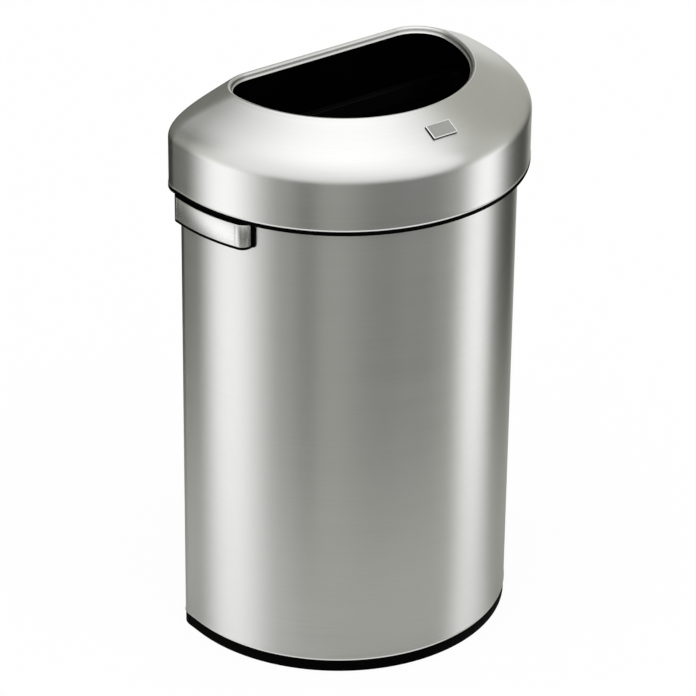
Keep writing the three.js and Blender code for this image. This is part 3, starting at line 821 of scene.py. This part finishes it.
def lid_rings(sizes):
    """The lid's outer face from the band's lower edge to the inner edge of the mouth's rim."""
    outer, inner = lid_plan(sizes), mouth_plan(sizes)
    low, _, mouth = lid_heights(sizes)
    hem, reach, crease_width = sizes.hem, sizes.dome_reach, 0.0035
    band = inset(outer, hem)
    edge = [
        (0.0003, 0), (0.0001, 0.0001), (0, 0.0003), (0, 0.0006), (hem * 0.1, 0.00075),
        (hem * 0.5, 0.0011), (hem * 0.9, 0.00145), (hem, 0.0016), (hem, 0.0021), (hem, 0.004),
    ]
    rings = [ring(inset(outer, d), low + z) for d, z in edge]
    for i in range(DOME_STEPS + 1):
        p = dome_point(sizes, i / DOME_STEPS)
        crease = max(0, 1 - (reach - p.x) / crease_width) ** 2 * sizes.rim_dip
        rings.append(ring(between(band, inner, p.x / reach), p.y - crease))
    step, crown, depth = sizes.rim_step, sizes.rim_crown, sizes.rim_depth
    middle = (step, mouth - depth * 0.35)
    crest = [
        (0, mouth - sizes.rim_dip), (step * 0.2, mouth + crown),
        (step * 0.95, mouth + crown * 0.9), middle,
    ]
    turn = [
        middle, (step + 0.0005, mouth - depth * 0.8), (step + 0.0007, mouth - depth * 0.9),
        (sizes.rim_width, mouth - depth),
    ]
    for part in (crest, turn):
        for i in range(1, RIM_STEPS + 1):
            p = bezier(part, i / RIM_STEPS)
            rings.append(ring(inset(inner, p.x), p.y))
    return rings


def sheet_through(name, rings, thickness):
    """A sheet of even thickness whose outer face goes through the rings."""
    count = len(rings[0])
    inner = []
    for i, row in enumerate(rings):
        above, below = rings[min(i + 1, len(rings) - 1)], rings[max(i - 1, 0)]
        moved = []
        for j, point in enumerate(row):
            along = above[j] - below[j]
            across = row[(j + 1) % count] - row[j - 1]
            moved.append(point - across.cross(along).normalized() * thickness)
        inner.append(moved)
    return loft(name, rings + inner[::-1])


class BIN_OT_lid_shell(bpy.types.Operator):
    """Builds the lid's pressed steel shell: band, dome and the rounded rim that turns down"""

    bl_idname = "bin.lid_shell"
    bl_label = "Lid shell"

    def execute(self, context):
        sizes = context.scene.bin_sizes
        shell = sheet_through("lid_shell_piece", lid_rings(sizes), sizes.sheet)
        placed(shell, "lid", "lid_steel", ["lid_shell"])
        return {"FINISHED"}


class BIN_OT_lid_frame(bpy.types.Operator):
    """Builds the lid's black frame with its lip, and the liner of the mouth"""

    bl_idname = "bin.lid_frame"
    bl_label = "Lid frame and mouth liner"

    def execute(self, context):
        sizes = context.scene.bin_sizes
        plan, seat = body_plan(sizes), sizes.seat
        low, _, mouth = lid_heights(sizes)
        foot, out, thick = low - sizes.lip_height, -sizes.lid_overhang, 0.002
        upstand, upstand_top = out + sizes.hem + sizes.sheet + seat, low + 0.018
        skirt, floor = -(COLLAR_SIDE + seat + 0.001), foot + 0.003
        ledge_low = sizes.body_top + seat + COLLAR_RISE + seat
        ledge_top, ledge = ledge_low + 0.003, 0.0067 + skirt
        made = swept("lid_frame_piece", plan, [
            (out + 0.0005, foot), (out + 0.0001, foot + 0.0001), (out, foot + 0.0005),
            (out, low - seat), (upstand, low - seat), (upstand, upstand_top),
            (upstand + thick, upstand_top), (upstand + thick, floor), (skirt - thick, floor),
            (skirt - thick, ledge_top), (ledge, ledge_top), (ledge, ledge_low),
            (skirt, ledge_low), (skirt, foot),
        ], 0.0009)
        near = sizes.front_radius - skirt + thick - seat
        far = sizes.front_radius - upstand - thick + seat
        half, rib_low, rib_top, count = 0.001, floor - seat, foot + 0.015 - seat, 10
        low_corner, high_corner = (near, -half, rib_low), (far, half, rib_top)
        turns = [math.pi * (1 + (i + 0.5) / count) for i in range(count)]
        ribs = [block("rib", low_corner, high_corner, turn, plan["centre"]) for turn in turns]
        placed(combined(made, ribs, "UNION"), "lid", "black_moulding", ["lid_frame"])
        start, end = ledge_top + seat, mouth - 0.005
        flange, inner, outer = start + 0.0025, inset(plan, ledge - 0.008), inset(plan, ledge + seat)
        opening, wall, steps = inset(mouth_plan(sizes), 0.0016), 0.0022, 8
        sections = [(inner, start), (inner, flange)]
        for t in (i / steps for i in range(steps + 1)):
            sections.append((between(outer, opening, t), flange + (end - flange) * t))
        for t in (i / steps for i in range(steps, -1, -1)):
            sections.append((inset(between(outer, opening, t), wall), start + (end - start) * t))
        funnel = loft("mouth_liner_piece", [ring(p, z) for p, z in sections])
        placed(funnel, "lid", "black_moulding", ["mouth_liner"], "mouth_plastic")
        for i in range(1, 9):
            dress(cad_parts[f"lid_screw_{i}"], "zinc_steel")
        return {"FINISHED"}


class BIN_OT_plate(bpy.types.Operator):
    """Builds the bare plate on the front of the dome, with a raised border round its field"""

    bl_idname = "bin.plate"
    bl_label = "Bare plate"

    def execute(self, context):
        sizes = context.scene.bin_sizes
        steps, gap = 400, 0.0004
        curve = [dome_point(sizes, i / steps) for i in range(steps + 1)]
        i = next(i for i, p in enumerate(curve) if p.x > sizes.plate_inset)
        tilt = math.atan2(curve[i + 1].y - curve[i - 1].y, curve[i + 1].x - curve[i - 1].x)
        lid = lid_plan(sizes)
        front = lid["radius"] - curve[i].x + gap * math.sin(tilt)
        place = (0, lid["centre"] - front, curve[i].y + gap * math.cos(tilt))
        turn = Matrix.Translation(place) @ Matrix.Rotation(tilt, 4, "X")

        def outline(margin, corner, height):
            points = []
            half_x, half_y = sizes.plate_width / 2 - margin, sizes.plate_height / 2 - margin
            for sx, sy, first in ((1, 1, 0), (-1, 1, 90), (-1, -1, 180), (1, -1, 270)):
                for step in range(7):
                    angle = math.radians(first + 15 * step)
                    x = sx * (half_x - corner) + corner * math.cos(angle)
                    y = sy * (half_y - corner) + corner * math.sin(angle)
                    points.append(turn @ Vector((x, y, height)))
            return points

        thick, border = sizes.plate_thickness, sizes.plate_border
        field = thick - sizes.plate_recess
        # Zone 0 marks the side walls, painted near-black as painted shade of the gap under the
        # plate; zone 0.5 marks the bevel and border, painted near-white as a painted highlight;
        # zone 1 marks the field.
        rows = [(outline(*level), zone) for zone, levels in (
            (0, ((0.0002, 0.0011, 0), (0, 0.0012, 0.0002), (0, 0.0012, thick - 0.00045))),
            (0.5, (
                (0.00002, 0.0012, thick - 0.0004), (0.0002, 0.001, thick - 0.00015),
                (0.0007, 0.001, thick), (border - 0.0002, 0.0008, thick),
                (border, 0.0007, thick - 0.0001),
            )),
            (1, ((border + 0.0001, 0.0006, field), (border + 0.0002, 0.0006, field))),
        ) for level in levels]
        plate = loft("front_plate_piece", [points for points, zone in rows], looped=False)
        zones = plate.data.attributes.new("zone", "FLOAT", "POINT")
        count = len(rows[0][0])
        for index, item in enumerate(zones.data):
            item.value = rows[index // count][1]
        placed(plate, "lid", "plate_steel", ["front_plate"])
        return {"FINISHED"}


# Studio


def bearing_of(tree, x, y):
    return tree.math("MULTIPLY", tree.math("ARCTAN2", y, x), 180 / math.pi)


def swung(tree, bearing, away, reach):
    """The bearing of the mirrored ray that meets the floor at a place, for one side of the bin."""
    away = tree.math("MAXIMUM", away, abs(reach) + 0.001)
    turn = tree.math("ARCSINE", tree.math("DIVIDE", reach, away))
    return tree.math("MULTIPLY_ADD", turn, 180 / math.pi, bearing)


def card(tree, bearing, centre, half, fade):
    """How much of a card or softbox is seen at a bearing, in degrees: 0 right, -90 front, 180 left.

    The half width and the fade beyond it are pairs, for the clockwise and the other side.
    """
    off = tree.math("WRAP", tree.math("SUBTRACT", bearing, centre), 180, -180)
    start = tree.ease(off, -half[0] - fade[0], -half[0])
    return tree.math("MULTIPLY", start, tree.ease(off, half[1], half[1] + fade[1], 1, 0))


def self_lit(tree, bearing, base, cards):
    """The light round the bin: a base level under cards and softboxes, the dark ones warmer.

    Each card is its centre, its half widths, its fades and its level.
    """
    seen = (base, base, base * 0.89)
    for centre, half, fade, level in cards:
        warm = 0.87 + 0.13 * min(level / 1.4, 1)
        seen = tree.mix(card(tree, bearing, centre, half, fade), seen, (level, level, level * warm))
    return seen


def studio_surround(tree, direction):
    """What the steel mirrors: softboxes left and right, dark cards beside them, light overhead."""
    x, y, z = tree.split(direction)
    bearing = bearing_of(tree, x, y)
    low = self_lit(tree, bearing, 0.22, (
        (-86, (18, 17), (26, 14), 0.04),
        (155, (4, 4), (22, 38), 1.50),
        (-148, (3, 3), (8, 8), 0.02),
        (-27, (4, 3), (23, 18), 1.54),
        (13, (9, 9), (12, 12), 0.03),
        (35, (3, 3), (7, 5), 0.55),
        (86, (36, 32), (8, 12), 0.02),
    ))
    high = self_lit(tree, bearing, 0.47, (
        (-38, (15, 20), (14, 18), 0.60),
        (-77, (10, 10), (14, 12), 1.05),
        (-128, (26, 26), (12, 12), 0.82),
        (44, (3, 3), (7, 4), 1),
        (92, (37, 30), (5, 18), 0.20),
        (180, (26, 8), (24, 10), 0.86),
    ))
    walls = tree.mix(tree.ease(z, -0.33, 0.03), low, high)
    front = card(tree, bearing, -116, (54, 56), (60, 26))
    side = card(tree, bearing, 112, (20, 20), (25, 35))
    edge = tree.math("MULTIPLY_ADD", front, -0.75, tree.math("MULTIPLY_ADD", side, -0.10, 0.81))
    above = tree.ease(tree.math("SUBTRACT", z, edge), -0.14, 0.14)
    tilt, toward = math.radians(18), math.radians(-50)
    facing = tree.node("ShaderNodeVectorMath", operation="DOT_PRODUCT")
    tree.fill(facing, direction, (
        math.sin(tilt) * math.cos(toward), math.sin(tilt) * math.sin(toward), math.cos(tilt)
    ))
    near = tree.ease(facing.outputs["Value"], 0.45, 1.04)
    soft = tree.mix(near, (1.04, 1.04, 1.035), (1.30, 1.30, 1.295))
    soft = tree.mix(tree.ease(z, 0.86, 1), soft, (1.54, 1.54, 1.54))
    return tree.mix(above, walls, soft)


class BIN_OT_stage(bpy.types.Operator):
    """Sets up the pale floor, the soft light, the white background and the camera"""

    bl_idname = "bin.stage"
    bl_label = "Studio and camera"

    def execute(self, context):
        stage = context.scene.bin_stage
        self.floor()
        self.light(context, stage)
        self.camera(context, stage)
        context.scene.view_settings.view_transform = "Standard"
        return {"FINISHED"}

    def floor(self):
        half = 9
        corners = [(-half, -half, 0), (half, -half, 0), (half, half, 0), (-half, half, 0)]
        floor = new_piece("floor", corners, [(0, 1, 2, 3)])
        material, tree = new_material("pale_floor")
        place = tree.place()
        tone = tree.mix(tree.noise(place, 3, 3), (0.86, 0.86, 0.855), (0.89, 0.89, 0.885))
        diffuse, softbox_painted_floor = tree.node("ShaderNodeBsdfDiffuse"), tree.node("ShaderNodeBsdfDiffuse")
        tree.link(tone, diffuse.inputs["Color"])
        white, clear = tree.node("ShaderNodeEmission"), tree.node("ShaderNodeBsdfTransparent")
        path = tree.node("ShaderNodeLightPath").outputs
        seen = tree.blend(
            tree.math("MULTIPLY", path["Is Camera Ray"], 0.95), diffuse.outputs[0], white.outputs[0]
        )
        x, y, _ = tree.split(place)
        y = tree.math("SUBTRACT", y, body_plan(bpy.context.scene.bin_sizes)["centre"])
        bearing, away = bearing_of(tree, x, y), tree.length(x, y)
        # Painted reflection of the softboxes: for glossy rays the floor is painted light where a
        # mirrored ray from the bin's sides meets it on the bearings of the left and right
        # softboxes. It is grey elsewhere, and it lets more of the surround through on those
        # bearings.
        left = card(tree, swung(tree, bearing, away, -0.127), 153, (16, 20), (18, 32))
        right = card(tree, swung(tree, bearing, away, 0.163), -23, (6, 5), (17, 16))
        lit = tree.math("MAXIMUM", left, right)
        # Painted light on the floor as the steel sees it: light on the softboxes' bearings, grey
        # elsewhere.
        tree.link(tree.mix(lit, (0.46, 0.463, 0.43), (0.92, 0.92, 0.915)), softbox_painted_floor.inputs["Color"])
        near = tree.math("MULTIPLY_ADD", left, 0.55, tree.math("MULTIPLY_ADD", right, 0.25, 0.05))
        far = tree.ease(away, 0.25, 1.3, near, 1)
        dull = tree.blend(path["Is Glossy Ray"], seen, softbox_painted_floor.outputs[0])
        mirrored = tree.math("MAXIMUM", path["Is Glossy Ray"], path["Is Shadow Ray"])
        tree.show(tree.blend(tree.math("MULTIPLY", mirrored, far), dull, clear.outputs[0]))
        floor.data.materials.append(material)

    def light(self, context, stage):
        world = bpy.data.worlds.new("studio")
        context.scene.world = world
        world.use_nodes = True
        tree = Tree(world.node_tree)
        surround = studio_surround(tree, tree.node("ShaderNodeTexCoord").outputs["Generated"])
        path = tree.node("ShaderNodeLightPath").outputs
        plain = tree.math("MAXIMUM", path["Is Camera Ray"], path["Is Transmission Ray"])
        background = tree.node("ShaderNodeBackground")
        tree.link(tree.mix(plain, surround, (1, 1, 1)), background.inputs["Color"])
        tree.show(background.outputs[0], "World")
        lamp = bpy.data.lights.new("overhead", "AREA")
        lamp.shape, lamp.size, lamp.energy = "DISK", 2.4, stage.lamp
        overhead = bpy.data.objects.new("overhead", lamp)
        overhead.location = (-0.6, -0.8, 3.2)
        aim = Vector((0, 0.05, 0.3)) - overhead.location
        overhead.rotation_euler = aim.to_track_quat("-Z", "Y").to_euler()
        overhead.visible_glossy = False
        context.scene.collection.objects.link(overhead)

    def camera(self, context, stage):
        lens = bpy.data.cameras.new("camera")
        lens.lens, lens.sensor_width, lens.sensor_fit = stage.lens, 36, "HORIZONTAL"
        camera = bpy.data.objects.new("camera", lens)
        azimuth, elevation = stage.azimuth, stage.elevation
        flat = math.cos(elevation)
        back = Vector((math.sin(azimuth) * flat, -math.cos(azimuth) * flat, math.sin(elevation)))
        facing = (-back).to_track_quat("-Z", "Y")
        camera.rotation_mode = "QUATERNION"
        camera.rotation_quaternion = facing @ Matrix.Rotation(stage.roll, 3, "Z").to_quaternion()
        camera.location = Vector(stage.target) + back * stage.distance
        context.scene.collection.objects.link(camera)
        context.scene.camera = camera


class BIN_PT_panel(bpy.types.Panel):
    """Lists the steps that build the bin"""

    bl_idname = "BIN_PT_panel"
    bl_label = "Half-round bin"
    bl_space_type = "VIEW_3D"
    bl_region_type = "UI"
    bl_category = "Bin"

    def draw(self, context):
        for operator in OPERATORS:
            self.layout.operator(operator.bl_idname)
        for name in GROUPS:
            group, box = getattr(context.scene, name), self.layout.box()
            for key in group.__annotations__:
                box.prop(group, key)


OPERATORS = (
    BIN_OT_body_shell,
    BIN_OT_base,
    BIN_OT_collar,
    BIN_OT_grips,
    BIN_OT_liner,
    BIN_OT_lid_shell,
    BIN_OT_lid_frame,
    BIN_OT_plate,
    BIN_OT_stage,
)
GROUPS = {"bin_sizes": BinSizes, "bin_finishes": BinFinishes, "bin_stage": BinStage}
CLASSES = (*GROUPS.values(), *OPERATORS, BIN_PT_panel)


def register():
    for made in CLASSES:
        bpy.utils.register_class(made)
    for name, group in GROUPS.items():
        setattr(bpy.types.Scene, name, bpy.props.PointerProperty(type=group))


def unregister():
    for name in GROUPS:
        delattr(bpy.types.Scene, name)
    for made in reversed(CLASSES):
        bpy.utils.unregister_class(made)


def main():
    register()
    bpy.ops.bin.body_shell()
    bpy.ops.bin.base()
    bpy.ops.bin.collar()
    bpy.ops.bin.grips()
    bpy.ops.bin.liner()
    bpy.ops.bin.lid_shell()
    bpy.ops.bin.lid_frame()
    bpy.ops.bin.plate()
    bpy.ops.bin.stage()


if __name__ == "__main__":
    main()
